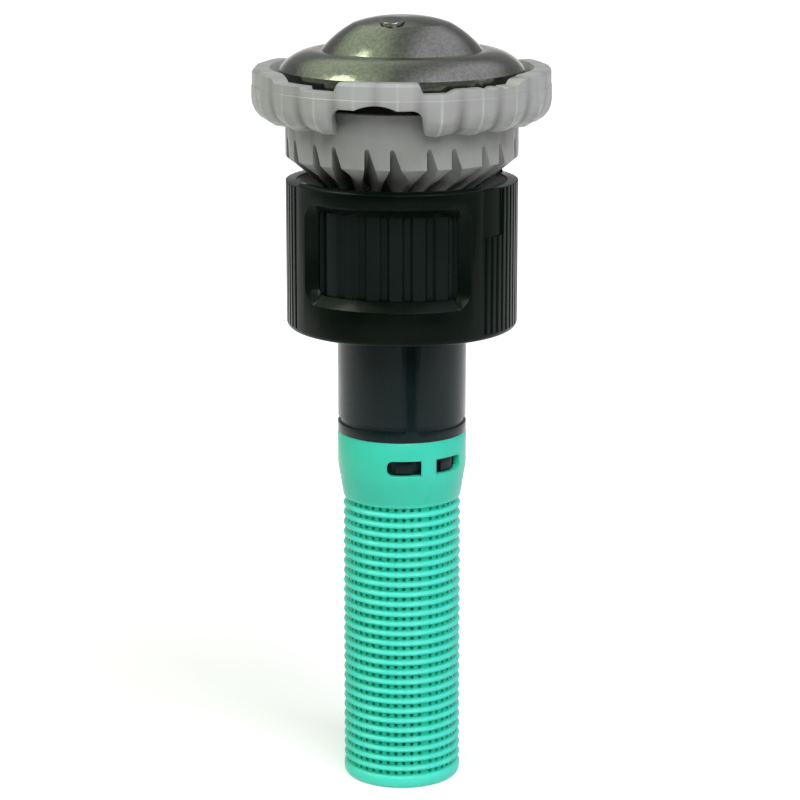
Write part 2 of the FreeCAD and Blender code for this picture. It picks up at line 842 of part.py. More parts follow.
def make_flow_hub():
    """Threaded post on a four-armed spider, held under the nozzle cover."""
    spider_bottom = d.cover_bottom - d.spider_height
    post = cylinder("hub_post", d.hub_radius, d.hub_bottom, d.cover_bottom - d.hub_bottom)
    carrier = ring_of("hub_ring", d.spider_ring_radius, d.spider_ring_bore,
                      spider_bottom, d.spider_height)
    arm_length = (d.spider_ring_bore + d.spider_ring_radius)
    arms = [
        crossbar(f"spider_arm_{angle}", arm_length, d.spider_arm_width,
                 spider_bottom, d.spider_height, angle)
        for angle in (45, 135)
    ]
    bore = cylinder("hub_bore", d.shaft_radius + d.shaft_clearance, d.hub_bottom,
                    d.cover_bottom - d.hub_bottom)
    keep("flow_hub", cut("hub", fuse("hub_solid", post, carrier, *arms), bore))


# ---------------------------------------------------------------- arc setting

def spiral_voids(name, inner, outer, start_height):
    """The space above a one-turn spiral ramp between two radii, as two half turns."""
    pitch = d.arc_pitch.value
    tall = 3 * pitch
    path = Part.makeHelix(pitch, pitch / 2, (inner + outer) / 2)
    path.translate(vector(0, 0, start_height))
    section = Part.makePolygon([
        vector(inner, 0, start_height), vector(outer, 0, start_height),
        vector(outer, 0, start_height + tall), vector(inner, 0, start_height + tall),
        vector(inner, 0, start_height),
    ])
    first = Part.Wire(path.Edges).makePipeShell([section], True, True)
    second = about_z(first, 180, pitch / 2)
    return [plain_shape(name + "_first", first), plain_shape(name + "_second", second)]


def make_nozzle_cover():
    """Cover with the dish, and a spiral lip round the throat that meets the valve sleeve."""
    rim_radius = d.housing_radius - d.housing_wall - d.slip
    lip_top = d.lip_bottom + d.lip_rise + d.arc_pitch
    cover = turned("cover", [
        (d.throat_bore, d.cover_bottom),
        (d.cover_step_radius, d.cover_bottom),
        (d.cover_step_radius + d.cover_rim_taper, d.cover_rim_bottom),
        (rim_radius, d.cover_rim_bottom),
        (rim_radius, d.cover_rim_top),
        (d.dish_rim_radius, d.dish_rim_height),
        (d.dish_foot_radius, d.dish_foot_height),
        (d.dish_foot_radius, lip_top),
        (d.lip_bore, lip_top),
        (d.lip_bore, d.lip_bottom),
        (d.throat_bore, d.lip_bottom),
    ])
    voids = spiral_voids(
        "lip_spiral", d.lip_bore.value - d.slip.value, d.dish_foot_radius.value + d.slip.value,
        (d.lip_bottom + d.lip_rise).value,
    )
    keep("nozzle_cover", cut("cover_cut", cover, *voids))


def clutch_teeth(bottom, height, first_angle):
    """Ring of face teeth, each a share of the pitch wide."""
    inner = (d.shaft_collar_radius + d.slip * 2).value
    outer = d.clutch_outer_radius.value
    count = int(d.clutch_tooth_count.value)
    step = 360 / count
    share = d.clutch_tooth_share.value
    teeth = []
    for k in range(count):
        sector = Part.makeCylinder(outer, height, vector(0, 0, bottom), vector(0, 0, 1), step * share)
        sector = sector.cut(Part.makeCylinder(inner, height, vector(0, 0, bottom)))
        teeth.append(about_z(sector, first_angle + step * k))
    return Part.makeCompound(teeth)


def make_valve_sleeve():
    """Sleeve with a spiral shoulder; its top teeth take the deflector's when it is pressed."""
    bottom = d.cover_bottom + d.sleeve_lift
    top = d.nose_height - d.clutch_tooth_height - d.press_travel - d.slip
    outer = d.lip_bore - d.sleeve_clearance
    sleeve = turned("sleeve", [
        (d.shaft_collar_radius + d.slip * 2, bottom),
        (outer, bottom),
        (outer, top),
        (d.shaft_collar_radius + d.slip * 2, top),
    ])
    voids = spiral_voids(
        "sleeve_spiral", d.sleeve_neck_radius.value, d.throat_bore.value,
        (d.lip_bottom + d.sleeve_spiral_rise).value,
    )
    teeth = plain_shape("sleeve_teeth", clutch_teeth(top.value, d.clutch_tooth_height.value, 0))
    keep("valve_sleeve", fuse("sleeve_with_teeth", cut("sleeve_cut", sleeve, *voids), teeth))


# ---------------------------------------------------------------- shaft group

def make_shaft_group():
    """Shaft, its lower nut and washer, the return spring, and the top clip."""
    washer_top = d.cover_bottom + d.thrust_washer
    collar_bottom = washer_top + d.press_travel + d.slip
    bushing_bottom = d.nose_height + d.slip
    clip_bottom = brake_heights().plate_top + d.slip
    clip_groove = d.shaft_radius - d.clip_groove_depth
    shaft_top = clip_bottom + d.clip_height + d.shaft_end
    keep("shaft", turned("shaft_pin", [
        (ZERO, -d.shaft_bottom),
        (d.shaft_radius, -d.shaft_bottom),
        (d.shaft_radius, collar_bottom),
        (d.shaft_collar_radius, collar_bottom),
        (d.shaft_collar_radius, bushing_bottom - d.slip * 2),
        (d.shaft_radius, bushing_bottom - d.slip * 2),
        (d.shaft_radius, clip_bottom),
        (clip_groove, clip_bottom),
        (clip_groove, clip_bottom + d.clip_height),
        (d.shaft_radius, clip_bottom + d.clip_height),
        (d.shaft_radius, shaft_top),
        (ZERO, shaft_top),
    ]))
    keep("thrust_washer", ring_of(
        "washer_upper", d.hub_radius - d.slip, d.shaft_radius + d.shaft_clearance,
        d.cover_bottom, d.thrust_washer,
    ))
    keep("shaft_clip", ring_of("clip", d.clip_radius, clip_groove, clip_bottom, d.clip_height))

    nut = doc.addObject("Part::Prism", "lower_nut")
    nut.Polygon = 6
    bind(nut, "Circumradius", d.shaft_nut_width / math.sqrt(3))
    bind(nut, "Height", d.shaft_nut_height)
    bind(nut, "Placement.Base.z", -d.shaft_bottom)
    nut_bore = cylinder("nut_bore", d.shaft_radius, -d.shaft_bottom, d.shaft_nut_height)
    keep("shaft_nut", cut("nut_cut", nut, nut_bore))

    washer_bottom = -d.shaft_bottom + d.shaft_nut_height
    keep("spring_washer", ring_of(
        "washer_lower", d.spring_washer_radius, d.shaft_radius,
        washer_bottom, d.spring_washer_height,
    ))
    keep("return_spring", plain_shape("spring", return_spring(
        (washer_bottom + d.spring_washer_height).value, d.hub_bottom.value,
    )))


def return_spring(bottom, top):
    """Coil of round wire between the spring washer and the flow hub."""
    wire = d.spring_wire.value / 2
    radius = d.spring_radius.value
    height = top - bottom - 2 * wire
    path = Part.makeHelix(height / d.spring_turns.value, height, radius)
    path.translate(vector(0, 0, bottom + wire))
    section = Part.Wire(Part.makeCircle(wire, vector(radius, 0, bottom + wire), vector(0, 1, 0)))
    return Part.Wire(path.Edges).makePipeShell([section], True, True)


# ---------------------------------------------------------------- rotor

def brake_heights():
    """Heights of the brake's layers on the deflector's floor."""
    disk_top = d.deflector_floor + d.brake_disk_height
    pad_bottom = disk_top + d.slip
    pad_top = pad_bottom + d.brake_pad_height
    plate_bottom = pad_top + d.brake_gap
    plate_top = plate_bottom + d.friction_plate_height
    return SimpleNamespace(
        disk_top=disk_top, pad_bottom=pad_bottom, plate_bottom=plate_bottom, plate_top=plate_top,
    )


def vane_slots():
    """Slots of the underside, in pairs, which leave the spiral vanes between them.

    A slot is ruled through upright sections that follow a spiral about the axis.  Its left
    wall is upright and its right wall leans, so a vane is thick at its root, and inside
    the tip radius its foot thins to a narrow edge.
    """
    edge = d.deflector_radius.value
    tip = d.vane_tip_radius.value
    start = d.vane_start.value
    foot = d.cone_foot_radius.value
    floor = d.nose_height.value - 1
    spiral = math.tan(math.radians(d.vane_spiral_angle.value))
    inner_ceiling = (d.housing_height - d.slot_inner_drop).value
    climb = (d.slot_outer_rise + d.slot_inner_drop).value / (edge - start)
    cone_slope = (d.deflector_edge_bottom - d.cone_foot_height).value / (edge - foot)

    def section(radius, gap):
        """A slot's section, where the next slot follows after the gap in degrees."""
        cone = d.cone_foot_height.value + cone_slope * max(radius - foot, 0)
        ceiling = inner_ceiling + climb * (radius - start)
        if radius < edge:
            mouth = math.radians(gap) * radius - d.vane_tip_width.value
            share = (radius - start) / (tip - start)
            top = d.slot_top_width.value * (1 - share) + d.slot_widest_top.value * share
        else:
            mouth = d.slot_mouth_width.value
            top = d.slot_top_width.value
        outline = [
            (0, floor), (mouth, floor), (mouth, cone), (top, ceiling - top / 2),
            (top * 0.75, ceiling), (top * 0.25, ceiling), (0, ceiling - top / 2),
        ]
        corners = [vector(across, -radius, up) for across, up in outline]
        wire = Part.makePolygon(corners + corners[:1])
        return about_z(wire, math.degrees(spiral * math.log(radius / edge)))

    pairs = int(d.vane_pair_count.value)
    step = 360 / pairs
    near = d.vane_near_gap.value
    slots = []
    for angle, gap in ((0, near), (near, step - near)):
        stations = (start, foot, tip, edge, edge + 1)
        slot = Part.makeLoft([section(radius, gap) for radius in stations], True, True)
        first = d.vane_first_angle.value + angle
        slots += [about_z(slot, first + step * k) for k in range(pairs)]
    return Part.makeCompound(slots)


def make_deflector():
    """Deflector: cup above, cone with spiral vanes below, nose with clutch teeth."""
    blank = turned("deflector_blank", [
        (d.bushing_radius, d.nose_height),
        (d.nose_radius, d.nose_height),
        (d.cone_foot_radius, d.cone_foot_height),
        (d.deflector_radius, d.deflector_edge_bottom),
        (d.deflector_radius, d.deflector_top),
        (d.deflector_bore, d.deflector_top),
        (d.deflector_bore, d.deflector_floor),
        (d.well_radius, d.deflector_floor),
        (d.well_radius, d.well_floor),
        (d.bushing_radius, d.well_floor),
    ])
    lows = [
        cylinder(f"wall_low_{side}", d.deflector_radius * 1.2, d.deflector_low_top,
                 d.deflector_top, middle - d.deflector_low_sweep / 2, d.deflector_low_sweep)
        for side, middle in (("front", ZERO), ("back", Size(180.0, "180")))
    ]
    slots = plain_shape("vane_slots", vane_slots())
    height = d.clutch_tooth_height.value
    half_step = 180 / d.clutch_tooth_count.value
    teeth = plain_shape("nose_teeth", clutch_teeth(d.nose_height.value - height, height, half_step))
    keep("deflector", fuse("deflector_with_teeth", cut("deflector_cut", blank, *lows, slots), teeth))


def make_rotor_inside():
    """Bushing, seal, retainer and the brake's three layers."""
    bore = d.shaft_radius + d.shaft_clearance
    bushing_height = d.well_floor - d.nose_height - d.slip
    keep("rotor_bushing", ring_of("bushing", d.bushing_radius, bore,
                                  d.nose_height + d.slip, bushing_height))
    keep("rotor_seal", ring_of("lip_seal", d.rotor_seal_radius, bore,
                               d.well_floor, d.rotor_seal_height))
    keep("seal_retainer", ring_of(
        "retainer", d.well_radius, d.brake_bore, d.well_floor + d.rotor_seal_height,
        d.retainer_height,
    ))
    layers = brake_heights()
    disk = cylinder("disk_round", d.brake_disk_radius, d.deflector_floor, d.brake_disk_height)
    ear_length = (d.deflector_bore - d.slip * 4) * 2
    ears = [
        crossbar(f"disk_ears_{k}", ear_length, d.brake_ear_width, d.deflector_floor,
                 d.brake_disk_height, 360 * k / d.brake_ear_count.value)
        for k in range(int(d.brake_ear_count.value) // 2)
    ]
    disk_bore = cylinder("disk_bore", d.brake_bore, d.deflector_floor, d.brake_disk_height)
    keep("brake_disk", cut("disk_cut", fuse("disk_solid", disk, *ears), disk_bore))
    keep("brake_pad", ring_of("pad", d.brake_pad_radius, d.brake_bore,
                              layers.pad_bottom, d.brake_pad_height))
    keep("friction_plate", ring_of("plate", d.brake_pad_radius, d.shaft_radius,
                                   layers.plate_bottom, d.friction_plate_height))


def grip_section(top_inset, foot_inset):
    """Corners of the grip ring's section, its outside drawn in by these depths."""
    outer = d.grip_radius.value
    lip = d.grip_lip_radius.value
    bottom = d.grip_bottom.value
    wall = outer - d.grip_wall.value
    rim = d.grip_rim_bore.value
    edge = d.grip_edge.value
    line = (d.grip_low_top - d.grip_line_drop).value
    line_depth = d.grip_line_depth.value
    curve_width = outer - lip - d.grip_lip_width.value
    curve_height = d.grip_curve_height.value
    lip_top = bottom + d.grip_lip_height.value

    def on_curve(turn):
        across, up = math.cos(turn), math.sin(turn)
        height = curve_height * (1 - up)
        share = 1 - height / (line - bottom)
        inset = top_inset + (foot_inset - top_inset) * share
        return (
            outer - curve_width * (1 - across) - inset * across,
            bottom + height + inset * up / 2,
        )

    lift = foot_inset / 2
    return [on_curve(math.radians(turn)) for turn in (90, 68, 48, 30, 14, 0)] + [
        (outer - top_inset, line),
        (outer - top_inset - line_depth, line + line_depth),
        (outer - top_inset - line_depth, d.grip_top.value - edge),
        (outer - top_inset - line_depth - edge, d.grip_top.value),
        (rim, d.grip_top.value),
        (rim, d.grip_flange_top.value),
        (d.grip_flange_bore.value, d.grip_flange_top.value),
        (d.grip_flange_bore.value, d.deflector_top.value),
        (wall, d.deflector_top.value),
        (wall, lip_top + d.grip_inside_slope.value),
        (lip, lip_top),
        (lip, bottom + lift),
    ]


def grip_ring_blank():
    """Fluted ring: one ruled tooth from groove to ridge to groove, repeated round."""
    count = int(d.grip_rib_count.value)
    half = 180 / count

    def wire(angle, top_inset, foot_inset):
        corners = [vector(0, -r, z) for r, z in grip_section(top_inset, foot_inset)]
        return about_z(Part.makePolygon(corners + corners[:1]), angle)

    groove = d.grip_flute_top.value, d.grip_flute_foot.value
    tooth = Part.makeLoft([wire(-half, *groove), wire(0, 0, 0), wire(half, *groove)], True, True)
    teeth = [about_z(tooth, half + 2 * half * k) for k in range(count)]
    return teeth[0].multiFuse(teeth[1:])


def grip_notch(layout):
    """Cutter above the ring's upper edge, ruled through upright sections."""
    low = d.grip_low_top.value
    step = low + d.grip_step.value
    top = d.grip_top.value + d.slip.value
    levels = {
        "low": low, "dip": low + d.grip_dip.value, "step": step,
        "shoulder": (step + top) / 2, "brow": step * 0.2 + top * 0.8, "lug": top,
    }
    inner = (d.grip_rim_bore - d.grip_wall / 2).value
    outer = (d.grip_radius + d.grip_wall).value
    above = d.cap_top.value
    sections = []
    for angle, level in layout:
        floor = levels[level]
        corners = [
            vector(0, -inner, floor), vector(0, -outer, floor),
            vector(0, -outer, above), vector(0, -inner, above),
        ]
        sections.append(about_z(Part.makePolygon(corners + corners[:1]), angle))
    return Part.makeLoft(sections, True, True)


def make_grip_ring():
    """Castellated grip ring round the cap, with a window below the front and back lugs."""
    ring = plain_shape("grip_blank", grip_ring_blank())
    notches = []
    for side, layout in (("right", RIGHT_NOTCH), ("left", LEFT_NOTCH)):
        front = grip_notch(layout)
        notches.append(plain_shape(f"notch_front_{side}", front))
        notches.append(plain_shape(f"notch_back_{side}", about_z(front, 180)))
    window = doc.addObject("PartDesign::Body", "grip_window")
    wide = d.grip_window_half_width
    corner = d.grip_window_corner
    inset = corner * CORNER
    below = d.grip_bottom - d.grip_wall
    arch = d.grip_window_arch_half
    top = d.housing_height + d.grip_window_rise
    sketch = outline_sketch(window, "grip_window_outline", [
        (-wide, below),
        (wide, below),
        (wide, top - corner, (wide - inset, top - inset)),
        (wide - corner, top),
        (arch, top, (ZERO, top + d.grip_window_arch)),
        (-arch, top),
        (-wide + corner, top, (-wide + inset, top - inset)),
        (-wide, top - corner),
    ])
    pad = window.newObject("PartDesign::Pad", "grip_window_pad")
    pad.Profile = sketch
    pad.SideType = "Symmetric"
    bind(pad, "Length", (d.grip_radius + d.grip_wall) * 2)
    keep("grip_ring", cut("grip_cut", ring, *notches, window))


def make_cap():
    """Pressed steel cap: low dome with a round button, neck, shoulder and a short skirt."""
    skirt_bottom = d.grip_flange_top
    inner = d.cap_radius - d.cap_sheet

    def inside(point, before, after):
        """The point one sheet under an outer point, square to the line past it."""
        across = (after[0] - before[0]).value
        down = (before[1] - after[1]).value
        length = math.hypot(across, down)
        return (
            point[0] - d.cap_sheet * (down / length), point[1] - d.cap_sheet * (across / length)
        )

    flat_edge = (d.cap_flat_radius, d.cap_top)
    crown_edge = (d.cap_crown_radius, d.cap_top - d.cap_crown_drop)
    neck = (d.cap_neck_radius, d.cap_top - d.cap_neck_drop)
    shoulder = (d.cap_radius, d.cap_top - d.cap_shoulder_drop)
    crown_middle = middle_of(flat_edge, crown_edge, d.cap_crown_bulge)
    side_middle = middle_of(crown_edge, neck, d.cap_side_bulge)
    shoulder_middle = middle_of(neck, shoulder, d.cap_shoulder_bulge)
    shell = turned("cap_shell", [
        (ZERO, d.cap_top),
        (*flat_edge, crown_middle),
        (*crown_edge, side_middle),
        (*neck, shoulder_middle),
        shoulder,
        (d.cap_radius, skirt_bottom),
        (inner, skirt_bottom),
        (inner, shoulder[1] - d.cap_sheet / 2, inside(shoulder_middle, neck, shoulder)),
        (*inside(neck, side_middle, shoulder_middle), inside(side_middle, crown_edge, neck)),
        (*inside(crown_edge, crown_middle, side_middle),
         inside(crown_middle, flat_edge, crown_edge)),
        (d.cap_flat_radius, d.cap_top - d.cap_sheet),
        (ZERO, d.cap_top - d.cap_sheet),
    ])
    keep("cap", fuse("cap_with_button", shell, plain_shape("button", cap_button())))
    keep("cap_seal", ring_of(
        "cap_gasket", inner - d.slip * 2, d.grip_flange_bore + d.slip * 4,
        skirt_bottom, d.cap_seal_height,
    ))


def cap_button():
    """Low round button with a rounded edge, which stands square on the dome's slope."""
    fall = d.cap_crown_drop.value / (d.cap_crown_radius - d.cap_flat_radius).value
    centre = d.button_centre.value
    height = d.cap_top.value - (centre - d.cap_flat_radius.value) * fall
    sunk = d.cap_sheet.value / 2
    bulge = d.cap_crown_bulge.value
    button = Part.makeCylinder(
        d.button_radius.value, sunk + bulge + d.button_height.value, vector(0, 0, -sunk))
    button = button.makeFillet(d.button_edge.value, [button.Edges[0]])
    lean = FreeCAD.Rotation(vector(1, 0, 0), math.degrees(math.atan(fall)))
    return about_z(placed(button, vector(0, -centre, height), lean), d.button_angle.value)


make_nozzle_base()
make_seals()
make_housing_shell()
make_inlet_tube()
make_filter_screen()
make_radius_ring()
make_throttle_nut()
make_flow_hub()
make_nozzle_cover()
make_valve_sleeve()
make_shaft_group()
make_deflector()
make_rotor_inside()
make_grip_ring()
make_cap()
doc.recompute()

failed = [obj.Name for obj in doc.Objects if "Invalid" in obj.State or "Error" in obj.State]
if failed:
    raise RuntimeError(f"these did not build: {failed}")
for node, part in nodes.items():
    if part.Shape.isNull() or not part.Shape.isValid():
        raise RuntimeError(f"{node} has no valid shape")
    if not part.Shape.Solids:
        raise RuntimeError(f"{node} is not solid")

os.makedirs("parts", exist_ok=True)
for node, part in nodes.items():
    part.Shape.exportStep(f"parts/{node}.step")
    print(f"{node}: {len(part.Shape.Solids)} solid, {part.Shape.Volume:.1f} mm3")
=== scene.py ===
import bmesh
import bpy
import math
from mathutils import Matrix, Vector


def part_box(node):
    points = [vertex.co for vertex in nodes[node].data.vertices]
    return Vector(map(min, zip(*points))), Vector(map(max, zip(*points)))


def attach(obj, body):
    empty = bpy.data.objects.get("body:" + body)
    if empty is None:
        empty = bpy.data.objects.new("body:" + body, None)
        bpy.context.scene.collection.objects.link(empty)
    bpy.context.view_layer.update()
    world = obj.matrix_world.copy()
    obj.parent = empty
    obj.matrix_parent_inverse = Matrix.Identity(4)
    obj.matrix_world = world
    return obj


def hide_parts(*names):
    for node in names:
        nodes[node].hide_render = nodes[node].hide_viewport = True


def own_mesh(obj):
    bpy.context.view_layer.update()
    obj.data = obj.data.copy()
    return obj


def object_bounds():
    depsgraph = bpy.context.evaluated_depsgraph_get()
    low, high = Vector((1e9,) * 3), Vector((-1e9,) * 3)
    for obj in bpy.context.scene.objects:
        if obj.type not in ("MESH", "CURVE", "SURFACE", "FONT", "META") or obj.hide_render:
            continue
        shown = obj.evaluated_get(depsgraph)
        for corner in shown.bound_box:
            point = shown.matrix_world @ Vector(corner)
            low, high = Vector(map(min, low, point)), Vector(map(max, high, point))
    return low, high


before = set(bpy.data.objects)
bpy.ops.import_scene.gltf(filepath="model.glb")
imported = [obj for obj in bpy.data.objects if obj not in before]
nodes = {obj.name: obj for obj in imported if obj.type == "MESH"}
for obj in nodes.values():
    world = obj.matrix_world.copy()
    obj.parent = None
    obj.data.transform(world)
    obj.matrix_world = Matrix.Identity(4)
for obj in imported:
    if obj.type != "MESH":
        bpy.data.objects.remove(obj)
cad_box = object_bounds()
bpy.ops.object.select_all(action="DESELECT")

# ---------------------------------------------------------------- base and thread
# The base is a black moulded skirt that screws onto the riser.  It closes the housing
# from below and carries the seat for the riser's rim.

mm = 0.001


def feed(tree, value, socket):
    """Links another node's output to a socket, or sets the socket to a plain value."""
    if isinstance(value, bpy.types.NodeSocket):
        tree.links.new(value, socket)
    else:
        socket.default_value = value


def math_node(tree, operation, *values):
    """Adds a Math node, feeds its inputs in turn and gives its output."""
    node = tree.nodes.new("ShaderNodeMath")
    node.operation = operation
    for value, socket in zip(values, node.inputs):
        feed(tree, value, socket)
    return node.outputs[0]


def map_range(tree, value, start, end, low=0.0, high=1.0, smooth=False):
    """Adds a Map Range node, from start and end to low and high, and gives its output."""
    node = tree.nodes.new("ShaderNodeMapRange")
    if smooth:
        node.interpolation_type = "SMOOTHSTEP"
    feed(tree, value, node.inputs["Value"])
    feed(tree, start, node.inputs["From Min"])
    feed(tree, end, node.inputs["From Max"])
    feed(tree, low, node.inputs["To Min"])
    feed(tree, high, node.inputs["To Max"])
    return node.outputs[0]


def mix_colours(tree, factor, first, second):
    """Adds a Mix node for two colours, each a value or another node's, and gives its result."""
    node = tree.nodes.new("ShaderNodeMix")
    node.data_type = "RGBA"
    feed(tree, factor, node.inputs["Factor"])
    for name, colour in (("A", first), ("B", second)):
        feed(tree, (*colour, 1.0) if isinstance(colour, tuple) else colour, node.inputs[name])
    return node.outputs["Result"]


def noise(tree, place, scale, detail=2.0, roughness=0.5):
    """Adds a Noise Texture node and gives its factor."""
    node = tree.nodes.new("ShaderNodeTexNoise")
    feed(tree, place, node.inputs["Vector"])
    feed(tree, scale, node.inputs["Scale"])
    feed(tree, detail, node.inputs["Detail"])
    feed(tree, roughness, node.inputs["Roughness"])
    return node.outputs["Fac"]


def stretched(tree, place, scale, turn=(0.0, 0.0, 0.0)):
    """Adds a Mapping node that turns and scales a pattern, and gives its output."""
    node = tree.nodes.new("ShaderNodeMapping")
    feed(tree, place, node.inputs["Vector"])
    feed(tree, turn, node.inputs["Rotation"])
    feed(tree, scale, node.inputs["Scale"])
    return node.outputs[0]


def bumped(tree, height, distance):
    """Adds a Bump node and gives its normal."""
    node = tree.nodes.new("ShaderNodeBump")
    feed(tree, height, node.inputs["Height"])
    feed(tree, distance, node.inputs["Distance"])
    return node.outputs[0]


def group_socket(group, name, direction, kind="NodeSocketFloat", default=None):
    """Adds one named socket to a shader group."""
    socket = group.interface.new_socket(name=name, in_out=direction, socket_type=kind)
    if default is not None:
        socket.default_value = default


def moulded_grain_group():
    """Fine eroded texture of a mould, slow sink marks, and a two-tone mask for colour."""
    group = bpy.data.node_groups.new("moulded_grain", "ShaderNodeTree")
    group_socket(group, "Vector", "INPUT", "NodeSocketVector")
    group_socket(group, "Grain Scale", "INPUT", default=6000.0)
    group_socket(group, "Grain Depth", "INPUT", default=0.4)
    group_socket(group, "Height", "OUTPUT")
    group_socket(group, "Tone", "OUTPUT")
    given = group.nodes.new("NodeGroupInput").outputs
    results = group.nodes.new("NodeGroupOutput").inputs
    grain = noise(group, given["Vector"], given["Grain Scale"], detail=3.0, roughness=0.6)
    sink_marks = noise(group, given["Vector"], 160.0)
    fine_grain = math_node(group, "MULTIPLY", grain, given["Grain Depth"])
    feed(group, math_node(group, "ADD", fine_grain, sink_marks), results["Height"])
    feed(group, map_range(group, sink_marks, 0.36, 0.64), results["Tone"])
    return group


def handling_marks_group():
    """Mask of fine scratches that run mostly up and down, broken into short strokes."""
    group = bpy.data.node_groups.new("handling_marks", "ShaderNodeTree")
    group_socket(group, "Vector", "INPUT", "NodeSocketVector")
    group_socket(group, "Amount", "INPUT", default=0.3)
    group_socket(group, "Scratches", "OUTPUT")
    given = group.nodes.new("NodeGroupInput").outputs
    results = group.nodes.new("NodeGroupOutput").inputs
    upright = stretched(group, given["Vector"], (5200.0, 5200.0, 260.0),
                        turn=(0.25, 0.18, 0.0))
    strokes = map_range(group, noise(group, upright, 1.0, detail=1.0), 0.66, 0.74)
    patches = map_range(group, noise(group, given["Vector"], 420.0), 0.45, 0.62)
    broken = math_node(group, "MULTIPLY", strokes, patches)
    feed(group, math_node(group, "MULTIPLY", broken, given["Amount"]), results["Scratches"])
    return group


moulded_grain = moulded_grain_group()
handling_marks = handling_marks_group()
scuff_roughness = 0.35


def moulded_plastic(name, colour, second_colour, roughness, grain_scale=6000.0,
                    grain_depth=0.4, bump=0.02 * mm, scratches=0.3, gloss=0.5):
    """Injection moulded plastic: two close tones, a fine grain, and light scratches."""
    mat = bpy.data.materials.new(name)
    mat.use_nodes = True
    tree = mat.node_tree
    shader = tree.nodes["Principled BSDF"]
    shader.inputs["Specular IOR Level"].default_value = gloss
    place = tree.nodes.new("ShaderNodeTexCoord").outputs["Object"]
    grain = tree.nodes.new("ShaderNodeGroup")
    grain.node_tree = moulded_grain
    feed(tree, place, grain.inputs["Vector"])
    feed(tree, grain_scale, grain.inputs["Grain Scale"])
    feed(tree, grain_depth, grain.inputs["Grain Depth"])
    marks = tree.nodes.new("ShaderNodeGroup")
    marks.node_tree = handling_marks
    feed(tree, place, marks.inputs["Vector"])
    feed(tree, scratches, marks.inputs["Amount"])
    tones = mix_colours(tree, grain.outputs["Tone"], colour, second_colour)
    moulded = map_range(tree, grain.outputs["Tone"], 0.0, 1.0, *roughness)
    scuffed = math_node(tree, "MULTIPLY_ADD", marks.outputs["Scratches"], scuff_roughness,
                        moulded)
    feed(tree, tones, shader.inputs["Base Color"])
    feed(tree, scuffed, shader.inputs["Roughness"])
    feed(tree, bumped(tree, grain.outputs["Height"], bump), shader.inputs["Normal"])
    return mat


def coat_node(node, mat):
    """Gives a carried-over node its finish."""
    mesh = nodes[node].data
    mesh.materials.clear()
    mesh.materials.append(mat)


black_moulded = moulded_plastic(
    "black_moulded", (0.0012, 0.0040, 0.0020), (0.0024, 0.0060, 0.0036), (0.18, 0.27),
    grain_scale=5200.0, grain_depth=0.3, bump=0.01 * mm, scratches=0.35, gloss=0.08,
)
coat_node("nozzle_base", black_moulded)

# ---------------------------------------------------------------- seals
# Soft black rubber: two O-rings round the radius ring, the flat gasket on the riser's rim,
# the lip seal of the brake and the cap's gasket.  They carry a fine matt bloom.

seal_rubber = moulded_plastic(
    "seal_rubber", (0.02, 0.02, 0.02), (0.035, 0.035, 0.034), (0.7, 0.82),
    grain_scale=9000.0, grain_depth=0.7, bump=0.03 * mm, scratches=0.1, gloss=0.3,
)
for node in ("riser_gasket", "lower_ring_seal", "upper_ring_seal", "rotor_seal", "cap_seal"):
    coat_node(node, seal_rubber)

# ---------------------------------------------------------------- inlet tube
# The tube hangs in the riser and carries the valve seat.  It is a smooth blue black
# moulding with a groove and a stop ring above the filter.

merge_distance = 0.002 * mm
flat_angle, sharp_angle = math.radians(0.4), math.radians(32)


def pick(piece):
    """Selects one object alone and makes it the active one."""
    bpy.ops.object.select_all(action="DESELECT")
    piece.select_set(True)
    bpy.context.view_layer.objects.active = piece


def choose(kind, test):
    """Selects the vertices, edges or faces of the mesh being edited that pass the test."""
    bpy.ops.mesh.select_all(action="DESELECT")
    bpy.ops.mesh.select_mode(type=kind)
    mesh = bmesh.from_edit_mesh(bpy.context.edit_object.data)
    for part in {"VERT": mesh.verts, "EDGE": mesh.edges, "FACE": mesh.faces}[kind]:
        part.select = test(part)
    mesh.select_flush_mode()
    bmesh.update_edit_mesh(bpy.context.edit_object.data)


def add_modifier(piece, kind, **settings):
    """Adds a modifier, sets it and applies it."""
    bpy.ops.object.modifier_add(type=kind)
    modifier = piece.modifiers[-1]
    for name, value in settings.items():
        setattr(modifier, name, value)
    bpy.ops.object.modifier_apply(modifier=modifier.name)


def dressed_copy(node):
    """Copy of a CAD piece to be worked on, because the CAD's own stays as it is."""
    piece = bpy.data.objects.new(node + "_dressed", nodes[node].data.copy())
    bpy.context.scene.collection.objects.link(piece)
    return piece


def softened(node, body, width, crisp=None):
    """Copy of a CAD piece, merged, with its sharp edges broken but for the crisp ones."""
    piece = dressed_copy(node)
    pick(piece)
    bpy.ops.object.mode_set(mode="EDIT")
    bpy.ops.mesh.select_all(action="SELECT")
    bpy.ops.mesh.remove_doubles(threshold=merge_distance)
    bpy.ops.mesh.dissolve_limited(angle_limit=flat_angle)
    if crisp:
        choose("EDGE", crisp)
        bpy.ops.mesh.mark_sharp()
    bpy.ops.mesh.select_all(action="DESELECT")
    bpy.ops.mesh.select_mode(type="EDGE")
    bpy.ops.mesh.edges_select_sharp(sharpness=sharp_angle)
    if crisp:
        mesh = bmesh.from_edit_mesh(piece.data)
        for edge in mesh.edges:
            edge.select = edge.select and not crisp(edge)
        bmesh.update_edit_mesh(piece.data)
    bpy.ops.transform.edge_bevelweight(value=1.0)
    bpy.ops.object.mode_set(mode="OBJECT")
    add_modifier(piece, "BEVEL", width=width, segments=2, limit_method="WEIGHT")
    bpy.ops.object.shade_smooth_by_angle(angle=sharp_angle)
    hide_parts(node)
    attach(piece, body)


